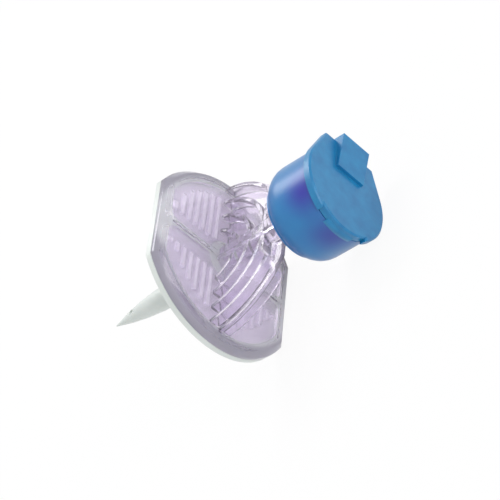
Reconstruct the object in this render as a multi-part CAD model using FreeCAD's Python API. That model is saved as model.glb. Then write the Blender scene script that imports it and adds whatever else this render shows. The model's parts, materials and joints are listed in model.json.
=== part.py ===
import FreeCAD, Part
import math
import os

from FreeCAD import Placement, Rotation, Vector

# Dispensing spike for a medicine vial. A white spike and base plate, a clear welded
# housing with a finger grip of nested arches and a Luer-lock port, and a blue flip cap.
# Everything is drawn upright first: spike down, port up, the plate's lower joint at z = 0,
# x across the two flats and y along the arches. At the end it is laid down as it rests
# on a table, on one flat and the edge of the lid. Millimetres.

# Plate, shared by the base and the clear cover
plate_radius = 20.0
plate_half_flat = 17.6
base_thickness = 1.2
cover_edge_height = 0.9
cover_chamfer_height = 1.5
cover_chamfer_inset = 1.1
cover_flat_inset = 1.4
cover_rim_width = 1.0
cover_recess = 0.4
cover_top_wall = 0.8

# Spike
shank_diameter = 4.8
shank_length = 10.0
ogive_length = 16.4
ogive_steps = 4
tip_radius = 0.15
shoulder_diameter = 8.0
shoulder_height = 1.2
shoulder_chamfer = 0.7
channel_bore = 1.1
channel_spacing = 1.9
channel_low = 5.0
slot_length = 2.4
slot_width = 0.8

# Vent chambers under the cover, one on each side of a partition
partition_thickness = 1.4
chamber_corner_radius = 2.0
chamber_half_length = 15.4
chamber_edge_gap = 2.6
centre_boss_diameter = 9.0
rib_count = 7
rib_pitch = 1.83
rib_first_x = 3.4
rib_width = 0.9
rib_depth = 0.35
rib_start_y = 3.8
rib_end_radius_near = 13.9
rib_end_radius_far = 15.5
filter_thickness = 0.3
filter_gap = 0.25

# Finger grip
grip_radius = 18.8
grip_plate_thickness = 1.0
grip_top = 17.4
arch_count = 4
arch_first_radius = 7.0
arch_pitch = 3.63
arch_thickness = 0.95
arch_half_width = 2.7
arch_top = 14.6
bridge_thickness = 0.8
bridge_half_length = 6.2
column_diameter = 5.8

# Luer-lock port
port_diameter = 6.5
port_top = 28.0
port_mouth_diameter = 4.3
port_land_length = 2.5
port_taper = 0.06
port_taper_length = 6.5
channel_diameter = 2.2
lug_span = 7.8
lug_width = 3.0
lug_height = 1.2
seat_diameter = 8.6
seat_thickness = 0.9

# Cap: cup round the port, and lid
cap_bottom = 19.6
cap_seat_clearance = 0.05
cap_foot_radius = 7.7
cap_foot_height = 0.7
cap_bottom_radius = 8.1
cap_radius = 9.8
cap_shoulder_height = 3.6
cap_shoulder_steps = 4
cap_shoulder_middle_out = 0.72
cap_shoulder_middle_up = 0.42
cap_wall = 1.2
cap_floor = 1.4
cap_top = 31.2
cap_inner_fillet = 1.0
lid_gap = 0.12
lid_thickness = 1.6
lid_radius = 10.4
lid_front_y = 10.4
lid_front_half = 6.5
lid_front_blend = 0.72
lid_edge_chamfer = 0.3
lid_ring_depth = 1.1
lid_ring_thickness = 0.8
lid_ring_gap = 0.3
seal_radius = 3.0
seal_clearance = 0.15
tab_half_width = 3.6
tab_back_y = 3.6
tab_front_y = 11.4
tab_low = 0.7
tab_high = 1.7
hinge_half_width = 5.8
hinge_gap = 0.15

# Pieces that fuse sink into each other, and cutters reach past what they cut
sink = 0.2
overshoot = 1.0

# Levels and sizes that follow from the above
cover_top = cover_edge_height + cover_chamfer_height
recess_top = cover_top - cover_recess
chamber_top = recess_top - cover_top_wall
spike_shoulder_z = -base_thickness - shoulder_height
shank_end_z = spike_shoulder_z - shank_length
spike_tip_z = shank_end_z - ogive_length
seat_top = cap_bottom
lid_bottom = cap_top + lid_gap
lid_top = lid_bottom + lid_thickness
hinge_y = -cap_radius - hinge_gap
cap_inner_radius = cap_radius - cap_wall

up = Vector(0, 0, 1)


def cylinder(radius, z_low, z_high, x=0.0, y=0.0):
    return Part.makeCylinder(radius, z_high - z_low, Vector(x, y, z_low), up)


def block(x0, x1, y0, y1, z0, z1):
    return Part.makeBox(x1 - x0, y1 - y0, z1 - z0, Vector(x0, y0, z0))


def cross_cylinder(radius, half_length):
    return Part.makeCylinder(radius, 2 * half_length, Vector(-half_length, 0, 0), Vector(1, 0, 0))


def plate_outline(inset, flat_inset, z):
    radius = plate_radius - inset
    half_flat = plate_half_flat - flat_inset
    half_chord = math.sqrt(radius ** 2 - half_flat ** 2)
    right_low = Vector(half_flat, -half_chord, z)
    right_high = Vector(half_flat, half_chord, z)
    left_high = Vector(-half_flat, half_chord, z)
    left_low = Vector(-half_flat, -half_chord, z)
    edges = [
        Part.LineSegment(right_low, right_high).toShape(),
        Part.Arc(right_high, Vector(0, radius, z), left_high).toShape(),
        Part.LineSegment(left_high, left_low).toShape(),
        Part.Arc(left_low, Vector(0, -radius, z), right_low).toShape(),
    ]
    return Part.Wire(edges)


def plate_prism(inset, flat_inset, z_low, z_high):
    return Part.Face(plate_outline(inset, flat_inset, z_low)).extrude(Vector(0, 0, z_high - z_low))


def revolve(points):
    wire = Part.makePolygon([Vector(r, 0, z) for r, z in points + points[:1]])
    return Part.Face(wire).revolve(Vector(0, 0, 0), up, 360)


def make_spike_base():
    plate = plate_prism(0.0, 0.0, -base_thickness, 0.0)
    shoulder = cylinder(shoulder_diameter / 2, spike_shoulder_z, -base_thickness)
    lower_edges = [e for e in shoulder.Edges
                   if abs(e.BoundBox.ZMax - spike_shoulder_z) < 1e-6 and e.Closed]
    shoulder = shoulder.makeChamfer(shoulder_chamfer, lower_edges)

    # The ogive is an arc tangent to the shank, turned in short cones
    shank_radius = shank_diameter / 2
    narrowing = shank_radius - tip_radius
    ogive_radius = (ogive_length ** 2 + narrowing ** 2) / (2 * narrowing)
    profile = [(0, spike_tip_z)]
    for i in range(ogive_steps + 1):
        down = ogive_length * (1 - i / ogive_steps)
        radius = shank_radius - (ogive_radius - math.sqrt(ogive_radius ** 2 - down ** 2))
        profile.append((radius, shank_end_z - down))
    profile.append((shank_radius, -base_thickness))
    profile.append((0, -base_thickness))
    spike = revolve(profile)
    body = plate.fuse([shoulder, spike])

    # Two channels side by side, one for liquid and one for air, both open towards +y
    low = spike_tip_z + channel_low
    cuts = []
    for x in (-channel_spacing / 2, channel_spacing / 2):
        cuts.append(cylinder(channel_bore / 2, low, 0.0, x))
        cuts.append(block(x - slot_width / 2, x + slot_width / 2, 0, shank_radius, low + sink, low + slot_length))
    return body.cut(cuts)


# One vent chamber has a straight edge beside the partition and an arc along the rim
def chamber_outline(side, inset, z):
    near_y = side * (partition_thickness / 2 + inset)
    half_length = chamber_half_length - inset
    radius = plate_radius - chamber_edge_gap - inset
    corner_y = side * math.sqrt(radius ** 2 - half_length ** 2)
    a = Vector(-half_length, near_y, z)
    b = Vector(half_length, near_y, z)
    c = Vector(half_length, corner_y, z)
    d = Vector(-half_length, corner_y, z)
    edges = [
        Part.LineSegment(a, b).toShape(),
        Part.LineSegment(b, c).toShape(),
        Part.Arc(c, Vector(0, side * radius, z), d).toShape(),
        Part.LineSegment(d, a).toShape(),
    ]
    return Part.Wire(edges)


def chamber(side, inset, z_low, z_high):
    solid = Part.Face(chamber_outline(side, inset, z_low)).extrude(Vector(0, 0, z_high - z_low))
    inner_y = partition_thickness / 2 + inset
    upright = [e for e in solid.Edges
               if abs(e.BoundBox.ZMax - e.BoundBox.ZMin - (z_high - z_low)) < 1e-6
               and abs(abs(e.CenterOfMass.y) - inner_y) < 1e-6]
    solid = solid.makeFillet(chamber_corner_radius - inset, upright)
    return solid.cut(cylinder(centre_boss_diameter / 2 + inset, z_low, z_high))


# Ribs hang from the chamber's ceiling and keep the membrane off it
def chamber_ribs(side, end_radius):
    ribs = []
    for sign in (-1, 1):
        for i in range(rib_count):
            x = sign * (rib_first_x + i * rib_pitch)
            end_y = math.sqrt(max(end_radius ** 2 - x ** 2, (rib_start_y + rib_width) ** 2))
            y0, y1 = sorted((side * rib_start_y, side * end_y))
            ribs.append(block(x - rib_width / 2, x + rib_width / 2, y0, y1,
                              chamber_top - rib_depth, chamber_top))
    return ribs


def make_vent_filter(side):
    return chamber(side, filter_gap, 0.0, filter_thickness)


def make_cover():
    low = plate_prism(0.0, 0.0, 0.0, cover_edge_height)
    high = Part.makeLoft([plate_outline(0.0, 0.0, cover_edge_height),
                          plate_outline(cover_chamfer_inset, cover_flat_inset, cover_top)], True, True)
    cover = low.fuse(high)
    recess = plate_prism(cover_chamfer_inset + cover_rim_width, cover_flat_inset + cover_rim_width,
                         recess_top, cover_top + overshoot)
    cover = cover.cut(recess)
    for side, end_radius in ((-1, rib_end_radius_near), (1, rib_end_radius_far)):
        hollow = chamber(side, 0.0, 0.0, chamber_top)
        cover = cover.cut(hollow.cut(chamber_ribs(side, end_radius)))
    return cover


# The grip is a thin half disc with nested arches that stand out to both sides of it
def make_grip():
    upper_half = block(-plate_radius, plate_radius, -plate_radius, plate_radius, recess_top - sink, grip_top)
    disc = cross_cylinder(grip_radius, grip_plate_thickness / 2).common(upper_half)
    pieces = [disc]
    under_bridge = block(-plate_radius, plate_radius, -plate_radius, plate_radius, recess_top - sink, arch_top)
    for i in range(arch_count):
        outer = arch_first_radius + i * arch_pitch
        ring = cross_cylinder(outer, arch_half_width).cut(cross_cylinder(outer - arch_thickness, plate_radius))
        pieces.append(ring.common(under_bridge))
    bridge = block(-arch_half_width, arch_half_width, -bridge_half_length, bridge_half_length,
                   arch_top - bridge_thickness, arch_top)
    pieces.append(bridge)
    pieces.append(cylinder(column_diameter / 2, recess_top - sink, arch_top))
    return pieces


def make_port():
    tube = cylinder(port_diameter / 2, arch_top - bridge_thickness, port_top)
    seat = cylinder(seat_diameter / 2, seat_top - seat_thickness, seat_top)
    ears = block(-lug_span / 2, lug_span / 2, -lug_width / 2, lug_width / 2, port_top - lug_height, port_top)
    ears = ears.common(cylinder(lug_span / 2, port_top - lug_height, port_top))
    return [tube, seat, ears]


def make_clear_housing():
    body = make_cover().fuse(make_grip() + make_port())
    mouth_radius = port_mouth_diameter / 2
    taper_top = port_top - port_land_length
    taper_end = taper_top - port_taper_length
    end_radius = mouth_radius - port_taper * port_taper_length / 2
    land = cylinder(mouth_radius, taper_top, port_top)
    bore = Part.makeCone(end_radius, mouth_radius, port_taper_length, Vector(0, 0, taper_end), up)
    channel = cylinder(channel_diameter / 2, 0.0, taper_end)
    return body.cut([land.fuse(bore), channel]).removeSplitter()


# The cup has a foot ring, a rounded shoulder turned in short cones and a straight barrel
def make_cap_cup():
    shoulder_low = cap_bottom + cap_foot_height
    shoulder_high = shoulder_low + cap_shoulder_height
    swell = cap_radius - cap_bottom_radius
    middle = Vector(cap_bottom_radius + cap_shoulder_middle_out * swell, 0,
                    shoulder_low + cap_shoulder_middle_up * cap_shoulder_height)
    shoulder = Part.Arc(Vector(cap_bottom_radius, 0, shoulder_low), middle,
                        Vector(cap_radius, 0, shoulder_high)).toShape()
    points = shoulder.discretize(Number=cap_shoulder_steps + 1)
    cup = revolve([(0, cap_bottom), (cap_foot_radius, cap_bottom), (cap_foot_radius, shoulder_low)]
                  + [(p.x, p.z) for p in points] + [(cap_radius, cap_top), (0, cap_top)])
    floor_z = cap_bottom + cap_floor
    lower_inner = cap_bottom_radius - cap_wall
    cavity = revolve([(0, floor_z), (lower_inner - cap_inner_fillet, floor_z),
                      (lower_inner, floor_z + cap_inner_fillet),
                      (cap_inner_radius, shoulder_high), (cap_inner_radius, cap_top + overshoot),
                      (0, cap_top + overshoot)])
    hole = cylinder(port_diameter / 2 + cap_seat_clearance, cap_bottom - overshoot, floor_z + overshoot)
    return cup.cut([cavity, hole])


def make_flip_lid():
    disc = cylinder(lid_radius, lid_bottom, lid_top)
    tangent = math.asin(lid_front_half / lid_radius)
    side_x = lid_radius * math.cos(tangent * lid_front_blend)
    side_y = lid_radius * math.sin(tangent * lid_front_blend)
    corners = [(-side_x, side_y), (-lid_front_half, lid_front_y), (lid_front_half, lid_front_y),
               (side_x, side_y), (-side_x, side_y)]
    front = Part.Face(Part.makePolygon([Vector(x, y, lid_bottom) for x, y in corners]))
    lid = disc.fuse(front.extrude(Vector(0, 0, lid_thickness))).removeSplitter()

    # Along the hinge the lid is flush with the barrel
    low = lid_bottom - overshoot
    high = lid_top + overshoot
    overhang = block(-hinge_half_width, hinge_half_width, -lid_radius - overshoot, 0, low, high)
    lid = lid.cut(overhang.cut(cylinder(cap_radius, low, high)))
    top_edges = [e for e in lid.Edges
                 if abs(e.BoundBox.ZMin - lid_top) < 1e-6 and abs(e.BoundBox.ZMax - lid_top) < 1e-6]
    lid = lid.makeChamfer(lid_edge_chamfer, top_edges)

    tab_side = Part.Face(Part.makePolygon([
        Vector(-tab_half_width, tab_back_y, lid_bottom + lid_thickness / 2),
        Vector(-tab_half_width, tab_front_y, lid_bottom + lid_thickness / 2),
        Vector(-tab_half_width, tab_front_y, lid_top + tab_high),
        Vector(-tab_half_width, tab_back_y, lid_top + tab_low),
        Vector(-tab_half_width, tab_back_y, lid_bottom + lid_thickness / 2)]))
    tab = tab_side.extrude(Vector(2 * tab_half_width, 0, 0))

    ring_radius = cap_inner_radius - lid_ring_gap
    ring = cylinder(ring_radius, lid_bottom - lid_ring_depth, lid_bottom).cut(
        cylinder(ring_radius - lid_ring_thickness, lid_bottom - lid_ring_depth, lid_bottom))
    seal = cylinder(seal_radius, port_top + seal_clearance, lid_bottom)
    return lid.fuse([tab, ring, seal])


def lay_down(shape, resting):
    placed = shape.copy()
    placed.Placement = resting.multiply(placed.Placement)
    return placed


# It lies on the +x flat of the plate and the lid's edge, with the port axis towards +X
def resting_placement():
    slope = math.degrees(math.atan2(plate_half_flat - lid_radius,
                                    lid_top - lid_edge_chamfer - cover_edge_height))
    turn = Rotation(Vector(0, 1, 0), 90.0 + slope)
    return Placement(Vector(0, 0, 0), turn)


def main():
    nodes = {
        "spike_base": make_spike_base(),
        "vent_filter_near": make_vent_filter(-1),
        "vent_filter_far": make_vent_filter(1),
        "clear_housing": make_clear_housing(),
        "cap_cup": make_cap_cup(),
        "flip_lid": make_flip_lid(),
    }
    resting = resting_placement()
    laid = {name: lay_down(shape, resting) for name, shape in nodes.items()}
    box = Part.makeCompound(list(laid.values())).optimalBoundingBox(False, False)
    drop = Vector(-(box.XMin + box.XMax) / 2, -(box.YMin + box.YMax) / 2, -box.ZMin)
    os.makedirs("parts", exist_ok=True)
    for name, shape in laid.items():
        shape.translate(drop)
        solids = len(shape.Solids)
        print(f"{name}: {solids} solid(s), {shape.Volume:.1f} mm3, valid {shape.isValid()}")
        shape.exportStep(f"parts/{name}.step")
    origin = resting.multVec(Vector(0, 0, 0)) + drop
    pivot = resting.multVec(Vector(0, hinge_y, (cap_top + lid_bottom) / 2)) + drop
    print("upright origin lies at", [round(v, 4) for v in origin])
    print("turned about +Y by", round(math.degrees(resting.Rotation.Angle), 4), "degrees")
    print("the lid turns about", [round(v, 4) for v in pivot])
    print("box", [round(v, 3) for v in (box.XLength, box.YLength, box.ZLength)])


main()
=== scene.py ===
import json
import math

import bmesh
import bpy
from mathutils import Matrix, Vector

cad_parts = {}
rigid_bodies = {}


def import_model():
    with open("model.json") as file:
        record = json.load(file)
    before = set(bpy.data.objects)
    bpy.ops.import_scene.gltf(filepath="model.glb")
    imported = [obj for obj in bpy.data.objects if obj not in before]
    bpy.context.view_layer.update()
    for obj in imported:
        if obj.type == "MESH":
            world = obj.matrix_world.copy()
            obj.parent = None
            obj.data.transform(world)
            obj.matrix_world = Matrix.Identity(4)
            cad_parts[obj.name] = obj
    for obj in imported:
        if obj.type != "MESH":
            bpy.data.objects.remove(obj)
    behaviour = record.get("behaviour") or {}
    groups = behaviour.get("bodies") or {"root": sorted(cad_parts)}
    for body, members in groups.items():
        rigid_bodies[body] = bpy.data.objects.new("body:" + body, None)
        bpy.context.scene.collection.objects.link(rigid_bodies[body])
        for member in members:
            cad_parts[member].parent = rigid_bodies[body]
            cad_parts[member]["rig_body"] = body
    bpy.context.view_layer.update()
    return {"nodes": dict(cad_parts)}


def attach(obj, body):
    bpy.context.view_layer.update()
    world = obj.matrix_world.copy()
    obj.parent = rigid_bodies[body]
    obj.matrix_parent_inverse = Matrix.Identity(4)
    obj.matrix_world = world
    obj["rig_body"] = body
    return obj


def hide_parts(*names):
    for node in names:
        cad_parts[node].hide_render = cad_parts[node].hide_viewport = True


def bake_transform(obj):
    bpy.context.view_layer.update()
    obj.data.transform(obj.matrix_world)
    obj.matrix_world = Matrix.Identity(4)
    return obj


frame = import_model()
mm = 0.001

# The CAD is drawn upright, port up, and then laid down: the same turn and shift are used here
lay = {
    "turn": 102.7887,  # degrees about +Y
    "shift": (-3.2197, 0.0, 17.3626),  # millimetres
}
layTurn = math.radians(lay["turn"])
layDown = Matrix.Translation(Vector(lay["shift"]) * mm) @ Matrix.Rotation(layTurn, 4, "Y")

# A Mix node's colour sockets go by number, because its other kinds of socket have the same names
mixShare = 0
mixFirst = 6
mixSecond = 7
mixResult = 2

# How meshes are welded, flattened, bevelled and shaded: metres and degrees
meshing = {
    "weld": 0.000002, "flatAngle": 0.5, "sharpAngle": 28,
    "copyBevelAngle": 32, "newBevelAngle": 25, "bevelSegments": 2,
}


# The standard sRGB curve, since shaders work in linear light
def toLinear(hexColour):
    channels = []
    for i in (1, 3, 5):
        value = int(hexColour[i:i + 2], 16) / 255
        channels.append(value / 12.92 if value <= 0.04045 else ((value + 0.055) / 1.055) ** 2.4)
    return (*channels, 1.0)


def addNode(tree, kind, settings=None, inputs=None, links=None):
    node = tree.nodes.new(kind)
    for name, value in (settings or {}).items():
        setattr(node, name, value)
    for name, value in (inputs or {}).items():
        node.inputs[name].default_value = value
    for name, socket in (links or {}).items():
        tree.links.new(socket, node.inputs[name])
    return node


def newMaterial(name):
    material = bpy.data.materials.new(name)
    material.use_nodes = True
    material.node_tree.nodes.clear()
    return material, material.node_tree


# Satin ABS: slow waves in colour where the melt cooled unevenly, and a moulded grain. The grain's waves
# are about 0.4 mm long, coarser than a real grain, so that they show
def makeSatinPlastic(name, colour, deepColour, look):
    material, tree = newMaterial(name)
    place = addNode(tree, "ShaderNodeTexCoord")
    cloud = addNode(tree, "ShaderNodeTexNoise",
                    inputs={"Scale": look["cloudScale"], "Detail": 3.0, "Roughness": 0.5},
                    links={"Vector": place.outputs["Object"]})
    depth = addNode(tree, "ShaderNodeMapRange",
                    inputs={"From Min": 0.3, "From Max": 0.7, "To Min": 0.0, "To Max": look["cloudStrength"]},
                    links={"Value": cloud.outputs["Fac"]})
    blend = addNode(tree, "ShaderNodeMix", {"data_type": "RGBA"},
                    {mixFirst: toLinear(colour), mixSecond: toLinear(deepColour)},
                    {mixShare: depth.outputs["Result"]})
    shade = blend.outputs[mixResult]
    # Spots of another colour that fade out over their reach: painted reflections
    for paintedReflection in look.get("paintedReflections", ()):
        away = addNode(tree, "ShaderNodeVectorMath", {"operation": "DISTANCE"}, {1: paintedReflection["spot"]},
                       {0: place.outputs["Object"]})
        share = addNode(tree, "ShaderNodeMapRange", {"interpolation_type": "SMOOTHSTEP"},
                        {"From Max": paintedReflection["reach"], "To Min": paintedReflection["strength"], "To Max": 0.0},
                        {"Value": away.outputs["Value"]})
        tinted = addNode(tree, "ShaderNodeMix", {"data_type": "RGBA"}, {mixSecond: toLinear(paintedReflection["colour"])},
                         {mixShare: share.outputs["Result"], mixFirst: shade})
        shade = tinted.outputs[mixResult]
    grain = addNode(tree, "ShaderNodeTexNoise",
                    inputs={"Scale": look["grainScale"], "Detail": 4.0, "Roughness": 0.6},
                    links={"Vector": place.outputs["Object"]})
    polish = addNode(tree, "ShaderNodeMapRange",
                     inputs={"To Min": look["roughLow"], "To Max": look["roughHigh"]},
                     links={"Value": grain.outputs["Fac"]})
    bump = addNode(tree, "ShaderNodeBump", inputs={"Strength": look["bump"], "Distance": 0.00004},
                   links={"Height": grain.outputs["Fac"]})
    shader = addNode(tree, "ShaderNodeBsdfPrincipled",
                     inputs={"IOR": look["ior"], "Subsurface Weight": look["subsurface"],
                             "Subsurface Scale": look["depth"],
                             "Subsurface Radius": look["subsurfaceRadius"]},
                     links={"Base Color": shade, "Roughness": polish.outputs["Result"],
                            "Normal": bump.outputs["Normal"]})
    addNode(tree, "ShaderNodeOutputMaterial", links={"Surface": shader.outputs["BSDF"]})
    return material


# Clear MABS: a faint lilac tint that deepens with thickness, a slight haze, and ripples from the flow
def makeClearPlastic(name, look):
    material, tree = newMaterial(name)
    place = addNode(tree, "ShaderNodeTexCoord")
    ripple = addNode(tree, "ShaderNodeTexNoise", inputs={"Scale": look["rippleScale"], "Detail": 2.0},
                     links={"Vector": place.outputs["Object"]})
    haze = addNode(tree, "ShaderNodeTexNoise", inputs={"Scale": look["hazeScale"], "Detail": 3.0},
                   links={"Vector": place.outputs["Object"]})
    rough = addNode(tree, "ShaderNodeMapRange",
                    inputs={"To Min": look["roughLow"], "To Max": look["roughHigh"]},
                    links={"Value": haze.outputs["Fac"]})
    bump = addNode(tree, "ShaderNodeBump", inputs={"Strength": look["bump"], "Distance": 0.0001},
                   links={"Height": ripple.outputs["Fac"]})
    shader = addNode(tree, "ShaderNodeBsdfPrincipled",
                     inputs={"Base Color": toLinear(look["tint"]), "IOR": look["ior"],
                             "Transmission Weight": look["clear"]},
                     links={"Roughness": rough.outputs["Result"], "Normal": bump.outputs["Normal"]})
    # The chamfer's ring is tinted darker: partly its greyer finish, partly painted shade
    if "chamferPaintedShade" in look:  # an even ring round the port's axis, in a tint of its own
        chamferPaintedShade = look["chamferPaintedShade"]
        offset = addNode(tree, "ShaderNodeVectorMath", {"operation": "SUBTRACT"}, {1: chamferPaintedShade["centre"]},
                         {0: place.outputs["Object"]})
        across = addNode(tree, "ShaderNodeVectorMath", {"operation": "DOT_PRODUCT"}, {1: chamferPaintedShade["across"]},
                         {0: offset.outputs["Vector"]})
        along = addNode(tree, "ShaderNodeVectorMath", {"operation": "DOT_PRODUCT"}, {1: chamferPaintedShade["along"]},
                        {0: offset.outputs["Vector"]})
        flat = addNode(tree, "ShaderNodeCombineXYZ",
                       links={"X": across.outputs["Value"], "Y": along.outputs["Value"]})
        outward = addNode(tree, "ShaderNodeVectorMath", {"operation": "LENGTH"},
                          links={0: flat.outputs["Vector"]})
        ring = addNode(tree, "ShaderNodeMapRange", {"interpolation_type": "SMOOTHSTEP"},
                       {"From Min": chamferPaintedShade["from"], "From Max": chamferPaintedShade["to"]},
                       {"Value": outward.outputs["Value"]})
        shade = addNode(tree, "ShaderNodeMix", {"data_type": "RGBA"},
                        {mixFirst: toLinear(look["tint"]), mixSecond: toLinear(chamferPaintedShade["tint"])},
                        {mixShare: ring.outputs["Result"]})
        tree.links.new(shade.outputs[mixResult], shader.inputs["Base Color"])
    body = addNode(tree, "ShaderNodeVolumeAbsorption",
                   inputs={"Color": look["depthTint"], "Density": look["density"]})
    rays = addNode(tree, "ShaderNodeLightPath")  # lamps reach what lies behind the plastic
    through = addNode(tree, "ShaderNodeBsdfTransparent", inputs={"Color": look["lampTint"]})
    mixed = addNode(tree, "ShaderNodeMixShader",
                    links={0: rays.outputs["Is Shadow Ray"], 1: shader.outputs["BSDF"],
                           2: through.outputs["BSDF"]})
    addNode(tree, "ShaderNodeOutputMaterial",
            links={"Surface": mixed.outputs["Shader"], "Volume": body.outputs["Volume"]})
    return material


# Expanded PTFE membrane: matt, with a soft fibrous mottle about a third of a millimetre across
def makeMembrane():
    look = {"light": "#dad8dc", "dark": "#c9c6cd", "fibreScale": 1500.0, "bump": 0.3, "rough": 0.9}
    material, tree = newMaterial("ptfeVentMembrane")
    place = addNode(tree, "ShaderNodeTexCoord")
    fibre = addNode(tree, "ShaderNodeTexNoise", inputs={"Scale": look["fibreScale"], "Detail": 4.0},
                    links={"Vector": place.outputs["Object"]})
    blend = addNode(tree, "ShaderNodeMix", {"data_type": "RGBA"},
                    {mixFirst: toLinear(look["light"]), mixSecond: toLinear(look["dark"])},
                    {mixShare: fibre.outputs["Fac"]})
    bump = addNode(tree, "ShaderNodeBump", inputs={"Strength": look["bump"], "Distance": 0.00005},
                   links={"Height": fibre.outputs["Fac"]})
    shader = addNode(tree, "ShaderNodeBsdfPrincipled", inputs={"Roughness": look["rough"]},
                     links={"Base Color": blend.outputs[mixResult], "Normal": bump.outputs["Normal"]})
    addNode(tree, "ShaderNodeOutputMaterial", links={"Surface": shader.outputs["BSDF"]})
    return material


# Scales are noise waves to the metre, and spots, reaches and depths are metres
blueAbs = makeSatinPlastic("blueMouldedAbs", "#1a80b2", "#0f6ba1", {
    "cloudScale": 420.0, "cloudStrength": 0.8, "grainScale": 2600.0, "roughLow": 0.3, "roughHigh": 0.42,
    "bump": 0.25, "ior": 1.52, "subsurface": 0.1, "depth": 0.002, "subsurfaceRadius": (0.3, 0.6, 1.0),
})
# Two violet spots on the cup's side are painted reflections, fixed in its colour
deepBlueAbs = makeSatinPlastic("deepBlueMouldedAbs", "#227ab4", "#225fa2", {
    "cloudScale": 110.0, "cloudStrength": 0.6, "grainScale": 2600.0, "roughLow": 0.26, "roughHigh": 0.36,
    "bump": 0.2, "ior": 1.52, "subsurface": 0.1, "depth": 0.002, "subsurfaceRadius": (0.3, 0.6, 1.0),
    "paintedReflections": (
        {"spot": (0.0277, -0.0048, 0.0191), "reach": 0.0066, "strength": 0.95, "colour": "#2c2a9c"},
        {"spot": (0.0259, -0.0098, 0.0109), "reach": 0.0066, "strength": 0.9, "colour": "#2c3f98"},
    ),
})
whiteAbs = makeSatinPlastic("whiteMouldedAbs", "#dde2de", "#cfd6d1", {
    "cloudScale": 120.0, "cloudStrength": 0.6, "grainScale": 2600.0, "roughLow": 0.3, "roughHigh": 0.45,
    "bump": 0.2, "ior": 1.52, "subsurface": 0.2, "depth": 0.0015, "subsurfaceRadius": (1.0, 0.9, 0.8),
})
mabs = {"ior": 1.5, "depthTint": (0.42, 0.34, 0.54, 1), "hazeScale": 900.0, "lampTint": (0.95, 0.93, 0.97, 1)}
clearMabs = makeClearPlastic("clearMouldedMabs", {
    **mabs, "tint": "#f9f4fe", "density": 24.0, "clear": 0.93, "roughLow": 0.08, "roughHigh": 0.14,
    "rippleScale": 260.0, "bump": 0.12,
    "chamferPaintedShade": {  # the chamfer is greyer than the face and darker as painted shade, and only its tint is changed for that
        "centre": tuple(value * mm for value in lay["shift"]),
        "across": (math.cos(layTurn), 0, -math.sin(layTurn)), "along": (0, 1, 0),
        "from": 0.0176, "to": 0.0188, "tint": "#aca4b8",
    },
})
frostedMabs = makeClearPlastic("frostedMouldedMabs", {
    **mabs, "tint": "#f5f2f8", "density": 2.0, "clear": 0.0, "roughLow": 0.3, "roughHigh": 0.5,
    "rippleScale": 400.0, "bump": 0.1,
})
membrane = makeMembrane()
print("materials ready")


# A node's mesh is loose triangles: the copy is welded, its flat faces joined and its edges rounded
def roundedCopy(node, name, material, slot, edge):
    mesh = frame["nodes"][node].data.copy()
    mesh.name = name
    work = bmesh.new()
    work.from_mesh(mesh)
    bmesh.ops.remove_doubles(work, verts=work.verts, dist=meshing["weld"])
    bmesh.ops.dissolve_limit(work, angle_limit=math.radians(meshing["flatAngle"]),
                             verts=work.verts, edges=work.edges)
    work.to_mesh(mesh)
    work.free()
    mesh.materials.clear()
    mesh.materials.append(material)
    mesh.shade_smooth()
    mesh.set_sharp_from_angle(angle=math.radians(meshing["sharpAngle"]))
    piece = bpy.data.objects.new(name, mesh)
    bpy.context.scene.collection.objects.link(piece)
    if edge:
        bevel = piece.modifiers.new("softEdge", "BEVEL")
        bevel.limit_method = "ANGLE"
        bevel.angle_limit = math.radians(meshing["copyBevelAngle"])
        bevel.width = edge * mm
        bevel.segments = meshing["bevelSegments"]
        bevel.harden_normals = True
    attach(piece, frame["nodes"][node]["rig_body"])
    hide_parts(node)


# CAD nodes that keep their shape: the copy's name, its plastic, its slot and its edge in millimetres
copies = {
    "spike_base": ("spikeBase", whiteAbs, "white_plastic", 0.12),
    "vent_filter_near": ("ventFilterNear", membrane, "filter_membrane", 0),
    "vent_filter_far": ("ventFilterFar", membrane, "filter_membrane", 0),
    "cap_cup": ("capCup", deepBlueAbs, "blue_plastic", 0.1),
    "flip_lid": ("flipLid", blueAbs, "blue_plastic", 0.12),
}
for node, settings in copies.items():
    roundedCopy(node, *settings)

# Clear housing: one moulding, drawn upright and laid down at the end. Millimetres
housing = {
    "plateRadius": 20.0, "halfFlat": 17.6, "low": -0.02, "edgeHeight": 0.9, "top": 2.4,
    "arcInset": 1.1, "flatInset": 1.4, "rimWidth": 1.0, "recess": 0.4,
    "chamberRadius": 17.4, "chamberHalf": 15.4, "chamberCorner": 2.0, "chamberTop": 1.2,
    "partition": 0.7, "boss": 4.5,
    "gripRadius": 18.8, "gripTop": 17.4, "gripThickness": 1.0,
    "archTop": 14.6, "archCutHalf": (10, 25),
    "bridgeHalf": 6.2, "bridgeThickness": 0.8, "columnRadius": 2.9,
    "portRadius": 3.25, "portTop": 28.0, "seatRadius": 4.3, "seatTop": 19.6, "seatThickness": 0.9,
    "lugSpan": 7.8, "lugWidth": 3.0, "lugHeight": 1.2,
    "mouthRadius": 2.15, "taperEndRadius": 1.955, "landLength": 2.5, "taperLength": 6.5, "channelRadius": 1.1,
    "seamHalf": 15.6, "seamWidth": 1.1, "seamHeight": 0.35,
    "softEdge": 0.14, "ribEdge": 0.1, "portEdge": 0.1, "seamEdge": 0.12,
    "sink": 0.2,  # how far the grip and the seam reach into the cover
    "overshoot": 1.0,  # how far a cut runs past the face that it opens
}
arcSteps = {"plate": 44, "boss": 20, "corner": 8, "chamber": 44, "grip": 36, "circle": 64}
arches = {"Count": 4, "First Radius": 7.0, "Pitch": 3.63, "Thickness": 0.95, "Width": 5.4, "Edge": 0.2}
ribs = {"Count": 14, "First": 3.4, "Pitch": 1.83, "Width": 0.9, "Start": 3.8, "Depth": 0.95, "Level": 0.8}
ribEnds = {"ribsNear": (-1.0, 13.9), "ribsFar": (1.0, 15.5)}  # side, and the radius that they end at


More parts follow.
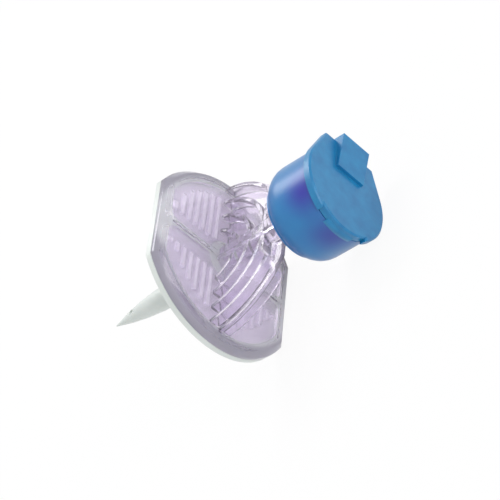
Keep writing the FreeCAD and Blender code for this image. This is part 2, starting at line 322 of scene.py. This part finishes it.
def plateLoop(inset, flatInset, z):
    radius = housing["plateRadius"] - inset
    start = math.acos((housing["halfFlat"] - flatInset) / radius)
    steps = arcSteps["plate"]
    points = []
    for base in (0.0, math.pi):
        for i in range(steps + 1):
            angle = base + start + (math.pi - 2 * start) * i / steps
            points.append((radius * math.cos(angle), radius * math.sin(angle), z))
    return points


def arcPoints(centreX, centreY, radius, fromDegrees, toDegrees, steps):
    points = []
    for i in range(steps + 1):
        angle = math.radians(fromDegrees + (toDegrees - fromDegrees) * i / steps)
        points.append((centreX + radius * math.cos(angle), centreY + radius * math.sin(angle)))
    return points


def chamberLoop(side, z):
    corner = housing["chamberCorner"]
    middle = housing["chamberHalf"] - corner
    low = housing["partition"]
    bossAngle = math.degrees(math.asin(low / housing["boss"]))
    rimAngle = math.degrees(math.acos(housing["chamberHalf"] / housing["chamberRadius"]))
    outline = arcPoints(0, 0, housing["boss"], 180 - bossAngle, bossAngle, arcSteps["boss"])
    outline += arcPoints(middle, low + corner, corner, -90, 0, arcSteps["corner"])
    outline += arcPoints(0, 0, housing["chamberRadius"], rimAngle, 180 - rimAngle, arcSteps["chamber"])
    outline += arcPoints(-middle, low + corner, corner, 180, 270, arcSteps["corner"])
    return [(x, side * y, z) for x, y in outline]


# Loops with the same number of points, one above the other, closed at both ends
def stackLoops(name, loops, material=clearMabs):
    work = bmesh.new()
    rings = [[work.verts.new(Vector(point) * mm) for point in loop] for loop in loops]
    count = len(rings[0])
    for low, high in zip(rings, rings[1:]):
        for i in range(count):
            work.faces.new((low[i], low[(i + 1) % count], high[(i + 1) % count], high[i]))
    work.faces.new(rings[0][::-1])
    work.faces.new(rings[-1])
    bmesh.ops.recalc_face_normals(work, faces=work.faces)
    mesh = bpy.data.meshes.new(name)
    work.to_mesh(mesh)
    work.free()
    mesh.materials.append(material)
    piece = bpy.data.objects.new(name, mesh)
    bpy.context.scene.collection.objects.link(piece)
    return piece


def turnedLoops(profile):
    steps = arcSteps["circle"]
    angles = [2 * math.pi * i / steps for i in range(steps)]
    return [[(r * math.cos(a), r * math.sin(a), z) for a in angles] for r, z in profile]


def boxLoops(halfX, halfY, low, high):
    corners = ((-halfX, -halfY), (halfX, -halfY), (halfX, halfY), (-halfX, halfY))
    return [[(x, y, z) for x, y in corners] for z in (low, high)]


# The evaluated mesh takes the place of the object's own, and its modifiers go
def settle(piece):
    evaluated = piece.evaluated_get(bpy.context.evaluated_depsgraph_get())
    mesh = bpy.data.meshes.new_from_object(evaluated)
    piece.modifiers.clear()
    piece.data = mesh
    return piece


def soften(piece, width):
    bevel = piece.modifiers.new("softEdge", "BEVEL")
    bevel.limit_method = "ANGLE"
    bevel.angle_limit = math.radians(meshing["newBevelAngle"])
    bevel.width = width * mm
    bevel.segments = meshing["bevelSegments"]
    return settle(piece)


def combine(piece, others, operation):
    for other in others:
        modifier = piece.modifiers.new(other.name, "BOOLEAN")
        modifier.operation = operation
        modifier.solver = "EXACT"
        modifier.material_mode = "TRANSFER"
        modifier.object = other
    settle(piece)
    for other in others:
        bpy.data.objects.remove(other)


def startTree(name, sockets):
    tree = bpy.data.node_groups.new(name, "GeometryNodeTree")
    tree.interface.new_socket("Geometry", in_out="INPUT", socket_type="NodeSocketGeometry")
    for socket, kind in sockets:
        tree.interface.new_socket(socket, in_out="INPUT", socket_type=kind)
    tree.interface.new_socket("Geometry", in_out="OUTPUT", socket_type="NodeSocketGeometry")
    return tree


def growFromTree(name, tree, values):
    piece = bpy.data.objects.new(name, bpy.data.meshes.new(name))
    bpy.context.scene.collection.objects.link(piece)
    modifier = piece.modifiers.new(name, "NODES")
    modifier.node_group = tree
    for item in tree.interface.items_tree:
        if item.in_out == "INPUT" and item.name in values:
            modifier[item.identifier] = values[item.name]
    return settle(piece)


# Nested arches: one ring for each radius, swept with a rounded bar section
def makeArchTree():
    tree = startTree("nestedArches", (
        ("Count", "NodeSocketInt"), ("First Radius", "NodeSocketFloat"), ("Pitch", "NodeSocketFloat"),
        ("Thickness", "NodeSocketFloat"), ("Width", "NodeSocketFloat"), ("Edge", "NodeSocketFloat"),
        ("Material", "NodeSocketMaterial")))
    given = addNode(tree, "NodeGroupInput").outputs
    spots = addNode(tree, "GeometryNodePoints", links={"Count": given["Count"]})
    number = addNode(tree, "GeometryNodeInputIndex")
    outer = addNode(tree, "ShaderNodeMath", {"operation": "MULTIPLY_ADD"},
                    links={0: number.outputs[0], 1: given["Pitch"], 2: given["First Radius"]})
    half = addNode(tree, "ShaderNodeMath", {"operation": "MULTIPLY"}, {1: 0.5}, {0: given["Thickness"]})
    middle = addNode(tree, "ShaderNodeMath", {"operation": "SUBTRACT"},
                     links={0: outer.outputs[0], 1: half.outputs[0]})
    ring = addNode(tree, "GeometryNodeCurvePrimitiveCircle", inputs={"Resolution": 112, "Radius": 1.0})
    grown = addNode(tree, "GeometryNodeInstanceOnPoints",
                    links={"Points": spots.outputs[0], "Instance": ring.outputs["Curve"],
                           "Scale": middle.outputs[0]})
    real = addNode(tree, "GeometryNodeRealizeInstances", links={"Geometry": grown.outputs[0]})
    upward = addNode(tree, "GeometryNodeSetCurveNormal", {"mode": "Z_UP"}, links={"Curve": real.outputs[0]})
    bar = addNode(tree, "GeometryNodeCurvePrimitiveQuadrilateral",
                  links={"Width": given["Thickness"], "Height": given["Width"]})
    rounded = addNode(tree, "GeometryNodeFilletCurve", {"mode": "POLY"}, {"Count": 3},
                      {"Curve": bar.outputs[0], "Radius": given["Edge"]})
    swept = addNode(tree, "GeometryNodeCurveToMesh",
                    links={"Curve": upward.outputs[0], "Profile Curve": rounded.outputs[0]})
    turned = addNode(tree, "GeometryNodeTransform", inputs={"Rotation": (0, math.pi / 2, 0)},
                     links={"Geometry": swept.outputs[0]})
    plain = addNode(tree, "GeometryNodeRealizeInstances", links={"Geometry": turned.outputs[0]})
    painted = addNode(tree, "GeometryNodeSetMaterial",
                      links={"Geometry": plain.outputs[0], "Material": given["Material"]})
    addNode(tree, "NodeGroupOutput", links={"Geometry": painted.outputs[0]})
    return tree


# Vent ribs: even numbers to the left, odd to the right, each ending on a circle round the port axis
def makeRibTree():
    tree = startTree("ventRibs", (
        ("Count", "NodeSocketInt"), ("First", "NodeSocketFloat"), ("Pitch", "NodeSocketFloat"),
        ("Width", "NodeSocketFloat"), ("Start", "NodeSocketFloat"), ("End Radius", "NodeSocketFloat"),
        ("Side", "NodeSocketFloat"), ("Depth", "NodeSocketFloat"), ("Level", "NodeSocketFloat"),
        ("Material", "NodeSocketMaterial")))
    given = addNode(tree, "NodeGroupInput").outputs
    spots = addNode(tree, "GeometryNodePoints", links={"Count": given["Count"]})
    number = addNode(tree, "GeometryNodeInputIndex")
    halved = addNode(tree, "ShaderNodeMath", {"operation": "MULTIPLY"}, {1: 0.5}, {0: number.outputs[0]})
    pair = addNode(tree, "ShaderNodeMath", {"operation": "FLOOR"}, links={0: halved.outputs[0]})
    odd = addNode(tree, "ShaderNodeMath", {"operation": "MODULO"}, {1: 2.0}, {0: number.outputs[0]})
    leftOrRight = addNode(tree, "ShaderNodeMath", {"operation": "MULTIPLY_ADD"}, {1: 2.0, 2: -1.0},
                          {0: odd.outputs[0]})
    away = addNode(tree, "ShaderNodeMath", {"operation": "MULTIPLY_ADD"},
                   links={0: pair.outputs[0], 1: given["Pitch"], 2: given["First"]})
    awaySquared = addNode(tree, "ShaderNodeMath", {"operation": "MULTIPLY"},
                          links={0: away.outputs[0], 1: away.outputs[0]})
    endSquared = addNode(tree, "ShaderNodeMath", {"operation": "MULTIPLY"},
                         links={0: given["End Radius"], 1: given["End Radius"]})
    reachSquared = addNode(tree, "ShaderNodeMath", {"operation": "SUBTRACT"},
                           links={0: endSquared.outputs[0], 1: awaySquared.outputs[0]})
    positive = addNode(tree, "ShaderNodeMath", {"operation": "MAXIMUM"}, {1: 0.0},
                       {0: reachSquared.outputs[0]})
    reach = addNode(tree, "ShaderNodeMath", {"operation": "SQRT"}, links={0: positive.outputs[0]})
    shortest = addNode(tree, "ShaderNodeMath", {"operation": "ADD"},
                       links={0: given["Start"], 1: given["Width"]})
    end = addNode(tree, "ShaderNodeMath", {"operation": "MAXIMUM"},
                  links={0: reach.outputs[0], 1: shortest.outputs[0]})
    length = addNode(tree, "ShaderNodeMath", {"operation": "SUBTRACT"},
                     links={0: end.outputs[0], 1: given["Start"]})
    middle = addNode(tree, "ShaderNodeMath", {"operation": "MULTIPLY_ADD"}, {1: 0.5},
                     {0: length.outputs[0], 2: given["Start"]})
    placeX = addNode(tree, "ShaderNodeMath", {"operation": "MULTIPLY"},
                     links={0: away.outputs[0], 1: leftOrRight.outputs[0]})
    placeY = addNode(tree, "ShaderNodeMath", {"operation": "MULTIPLY"},
                     links={0: middle.outputs[0], 1: given["Side"]})
    place = addNode(tree, "ShaderNodeCombineXYZ",
                    links={"X": placeX.outputs[0], "Y": placeY.outputs[0], "Z": given["Level"]})
    size = addNode(tree, "ShaderNodeCombineXYZ",
                   links={"X": given["Width"], "Y": length.outputs[0], "Z": given["Depth"]})
    moved = addNode(tree, "GeometryNodeSetPosition",
                    links={"Geometry": spots.outputs[0], "Position": place.outputs[0]})
    block = addNode(tree, "GeometryNodeMeshCube")
    grown = addNode(tree, "GeometryNodeInstanceOnPoints",
                    links={"Points": moved.outputs[0], "Instance": block.outputs[0],
                           "Scale": size.outputs[0]})
    plain = addNode(tree, "GeometryNodeRealizeInstances", links={"Geometry": grown.outputs[0]})
    painted = addNode(tree, "GeometryNodeSetMaterial",
                      links={"Geometry": plain.outputs[0], "Material": given["Material"]})
    addNode(tree, "NodeGroupOutput", links={"Geometry": painted.outputs[0]})
    return tree


# Decimal values are millimetres and become metres, and whole ones are counts
def scaledToMetres(values, material):
    lengths = {name: value * mm for name, value in values.items() if isinstance(value, float)}
    return {**values, **lengths, "Material": material}


recessTop = housing["top"] - housing["recess"]
rimInset = housing["arcInset"] + housing["rimWidth"]
rimFlatInset = housing["flatInset"] + housing["rimWidth"]
cover = stackLoops("clearHousing", [
    plateLoop(0, 0, housing["low"]),
    plateLoop(0, 0, housing["edgeHeight"]),
    plateLoop(housing["arcInset"], housing["flatInset"], housing["top"]),
    plateLoop(rimInset, rimFlatInset, housing["top"]),
    plateLoop(rimInset, rimFlatInset, recessTop)])
soften(cover, housing["softEdge"])
chamberLevels = (-housing["overshoot"], housing["chamberTop"])
chambers = [stackLoops(name, [chamberLoop(side, level) for level in chamberLevels])
            for name, side in (("chamberNear", -1), ("chamberFar", 1))]
combine(cover, chambers, "DIFFERENCE")

ribTree = makeRibTree()
ribPieces = []
for name, (side, endRadius) in ribEnds.items():
    ribSizes = {**scaledToMetres(ribs, frostedMabs), "Side": side, "End Radius": endRadius * mm}
    ribPieces.append(soften(growFromTree(name, ribTree, ribSizes), housing["ribEdge"]))

gripFloor = recessTop - housing["sink"]
archRings = growFromTree("archRings", makeArchTree(), scaledToMetres(arches, clearMabs))
slab = stackLoops("slab", boxLoops(*housing["archCutHalf"], gripFloor, housing["archTop"]))
combine(archRings, [slab], "INTERSECT")

lowAngle = math.degrees(math.asin(gripFloor / housing["gripRadius"]))
highAngle = math.degrees(math.asin(housing["gripTop"] / housing["gripRadius"]))
discSide = arcPoints(0, 0, housing["gripRadius"], lowAngle, highAngle, arcSteps["grip"])
discSide += [(-y, z) for y, z in reversed(discSide)]
halfThickness = housing["gripThickness"] / 2
disc = stackLoops("gripDisc", [[(x, y, z) for y, z in discSide] for x in (-halfThickness, halfThickness)])
soften(disc, housing["softEdge"])

bridgeLow = housing["archTop"] - housing["bridgeThickness"]
bridge = stackLoops("gripBridge", boxLoops(arches["Width"] / 2, housing["bridgeHalf"],
                                           bridgeLow, housing["archTop"]))
soften(bridge, housing["softEdge"])
column = stackLoops("gripColumn", turnedLoops([(housing["columnRadius"], gripFloor),
                                               (housing["columnRadius"], housing["archTop"])]))

portLow = housing["archTop"] - housing["bridgeThickness"] / 2
seatLow = housing["seatTop"] - housing["seatThickness"]
port = stackLoops("port", turnedLoops([
    (housing["portRadius"], portLow), (housing["portRadius"], seatLow), (housing["seatRadius"], seatLow),
    (housing["seatRadius"], housing["seatTop"]), (housing["portRadius"], housing["seatTop"]),
    (housing["portRadius"], housing["portTop"])]))
soften(port, housing["portEdge"])
lugs = stackLoops("lugs", boxLoops(housing["lugSpan"] / 2, housing["lugWidth"] / 2,
                                   housing["portTop"] - housing["lugHeight"], housing["portTop"]))
soften(lugs, housing["softEdge"])

# A low ridge over the partition, read from the dark line across the cover in the photo
seam = stackLoops("seam", boxLoops(housing["seamHalf"], housing["seamWidth"] / 2,
                                   gripFloor, recessTop + housing["seamHeight"]))
soften(seam, housing["seamEdge"])
combine(cover, ribPieces + [seam, archRings, disc, bridge, column, port, lugs], "UNION")

taperTop = housing["portTop"] - housing["landLength"]
taperLow = taperTop - housing["taperLength"]
bore = stackLoops("bore", turnedLoops([
    (housing["channelRadius"], -housing["overshoot"]), (housing["channelRadius"], taperLow),
    (housing["taperEndRadius"], taperLow), (housing["mouthRadius"], taperTop),
    (housing["mouthRadius"], housing["portTop"] + housing["overshoot"])]))
combine(cover, [bore], "DIFFERENCE")


# Welded, laid down, and shaded smooth between its edges
def finishShape(piece):
    work = bmesh.new()
    work.from_mesh(piece.data)
    bmesh.ops.remove_doubles(work, verts=work.verts, dist=meshing["weld"])
    bmesh.ops.recalc_face_normals(work, faces=work.faces)
    work.to_mesh(piece.data)
    work.free()
    piece.data.transform(layDown)
    piece.data.shade_smooth()
    piece.data.set_sharp_from_angle(angle=math.radians(meshing["sharpAngle"]))
    print(piece.name, len(piece.data.polygons), "faces")


finishShape(cover)
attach(cover, "housing")
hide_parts("clear_housing")

# The hinge strap between the cup and the lid: one moulding with both, thin enough to bend. Millimetres
strap = {
    "halfWidth": 3.4, "pitch": 0.85, "steps": 14,
    "radius": 9.82, "bulge": 0.16, "depth": 0.8,
    "low": 30.5, "high": 31.95, "bendLow": 30.95, "bendHigh": 31.55,
}


def strapSection(x):
    outer = []
    for step in range(strap["steps"] + 1):
        share = step / strap["steps"]
        radius = strap["radius"] + strap["bulge"] * math.sin(math.pi * share)
        height = strap["low"] + share * (strap["high"] - strap["low"])
        outer.append((x, -math.sqrt(radius ** 2 - x ** 2), height))
    return outer + [(x, y + strap["depth"], z) for x, y, z in reversed(outer)]


strapCount = round(2 * strap["halfWidth"] / strap["pitch"])
hingeStrap = stackLoops("hingeStrap", [strapSection(-strap["halfWidth"] + strap["pitch"] * i)
                                       for i in range(strapCount + 1)], blueAbs)
finishShape(hingeStrap)
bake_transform(hingeStrap)
print("pieces ready")

# Camera at the photograph's place: its spot, the way it looks and its right-hand side
view = {
    "spot": (0.25501, -0.27056, 0.15931),
    "look": (-0.63336, 0.68302, -0.36379),
    "right": (0.55816, 0.07758, -0.82610),
    "lens": 148.46,
    "sensor": 36.0,
    "nearest": 0.01,
}
back = -Vector(view["look"]).normalized()
upright = back.cross(Vector(view["right"]).normalized()).normalized()
rightHand = upright.cross(back)
cameraData = bpy.data.cameras.new("studioCamera")
cameraData.lens = view["lens"]
cameraData.sensor_width = view["sensor"]
cameraData.clip_start = view["nearest"]
camera = bpy.data.objects.new("studioCamera", cameraData)
turn = Matrix((rightHand, upright, back)).transposed().to_4x4()
camera.matrix_world = Matrix.Translation(view["spot"]) @ turn
bpy.context.scene.collection.objects.link(camera)
bpy.context.scene.camera = camera


# Floor and sky look white to the camera, in reflections and through the plastic
def whiteWhereSeen(tree, lit, white, strength):
    path = addNode(tree, "ShaderNodeLightPath")
    seen = addNode(tree, "ShaderNodeMath", {"operation": "MAXIMUM"},
                   links={0: path.outputs["Is Camera Ray"], 1: path.outputs["Is Glossy Ray"]})
    anySeen = addNode(tree, "ShaderNodeMath", {"operation": "MAXIMUM"},
                      links={0: seen.outputs[0], 1: path.outputs["Is Transmission Ray"]})
    share = addNode(tree, "ShaderNodeMath", {"operation": "MULTIPLY"}, {1: strength}, {0: anySeen.outputs[0]})
    mixed = addNode(tree, "ShaderNodeMixShader", links={0: share.outputs[0], 1: lit, 2: white})
    return mixed.outputs[0]


# A floorGlow under 1 leaves the object's soft shadow on the paper. Sizes and places are metres
studio = {
    "floorSize": 1.2, "floorWhite": "#f4f4f4", "floorGlow": 0.93,
    "skyColour": (0.97, 0.98, 1, 1), "skyLight": 0.68, "white": (1, 1, 1, 1), "aim": (0, 0, 0.015),
}
softboxes = {
    "topSoftbox": {"spot": (-0.1, 0.3, 0.45), "size": (0.3, 0.25), "watts": 1.35},
    "frontSoftbox": {"spot": (0.45, -0.18, 0.2), "size": (0.25, 0.3), "watts": 0.88},
}
floorHalf = studio["floorSize"] / 2
floorCorners = [(-floorHalf, -floorHalf, 0), (floorHalf, -floorHalf, 0),
                (floorHalf, floorHalf, 0), (-floorHalf, floorHalf, 0)]
floorMesh = bpy.data.meshes.new("studioFloor")
floorMesh.from_pydata(floorCorners, [], [(0, 1, 2, 3)])
floor = bpy.data.objects.new("studioFloor", floorMesh)
bpy.context.scene.collection.objects.link(floor)
floorMaterial, floorTree = newMaterial("mattWhitePaper")
paper = addNode(floorTree, "ShaderNodeBsdfDiffuse", inputs={"Color": toLinear(studio["floorWhite"])})
glow = addNode(floorTree, "ShaderNodeEmission", inputs={"Color": studio["white"], "Strength": 1.0})
floorSurface = whiteWhereSeen(floorTree, paper.outputs[0], glow.outputs[0], studio["floorGlow"])
addNode(floorTree, "ShaderNodeOutputMaterial", links={"Surface": floorSurface})
floorMesh.materials.append(floorMaterial)

world = bpy.data.worlds.new("studioSky")
world.use_nodes = True
world.node_tree.nodes.clear()
skyTree = world.node_tree
skyLight = addNode(skyTree, "ShaderNodeBackground",
                   inputs={"Color": studio["skyColour"], "Strength": studio["skyLight"]})
skyWhite = addNode(skyTree, "ShaderNodeBackground", inputs={"Color": studio["white"], "Strength": 1.0})
skySurface = whiteWhereSeen(skyTree, skyLight.outputs[0], skyWhite.outputs[0], 1.0)
addNode(skyTree, "ShaderNodeOutputWorld", links={"Surface": skySurface})
bpy.context.scene.world = world

for name, box in softboxes.items():
    lampData = bpy.data.lights.new(name, "AREA")
    lampData.shape = "RECTANGLE"
    lampData.size, lampData.size_y = box["size"]
    lampData.energy = box["watts"]
    lamp = bpy.data.objects.new(name, lampData)
    lamp.location = box["spot"]
    aimed = Vector(studio["aim"]) - Vector(box["spot"])
    lamp.rotation_euler = aimed.to_track_quat("-Z", "Y").to_euler()
    bpy.context.scene.collection.objects.link(lamp)
print("studio ready")

scene = bpy.context.scene
scene.view_settings.view_transform = "Standard"
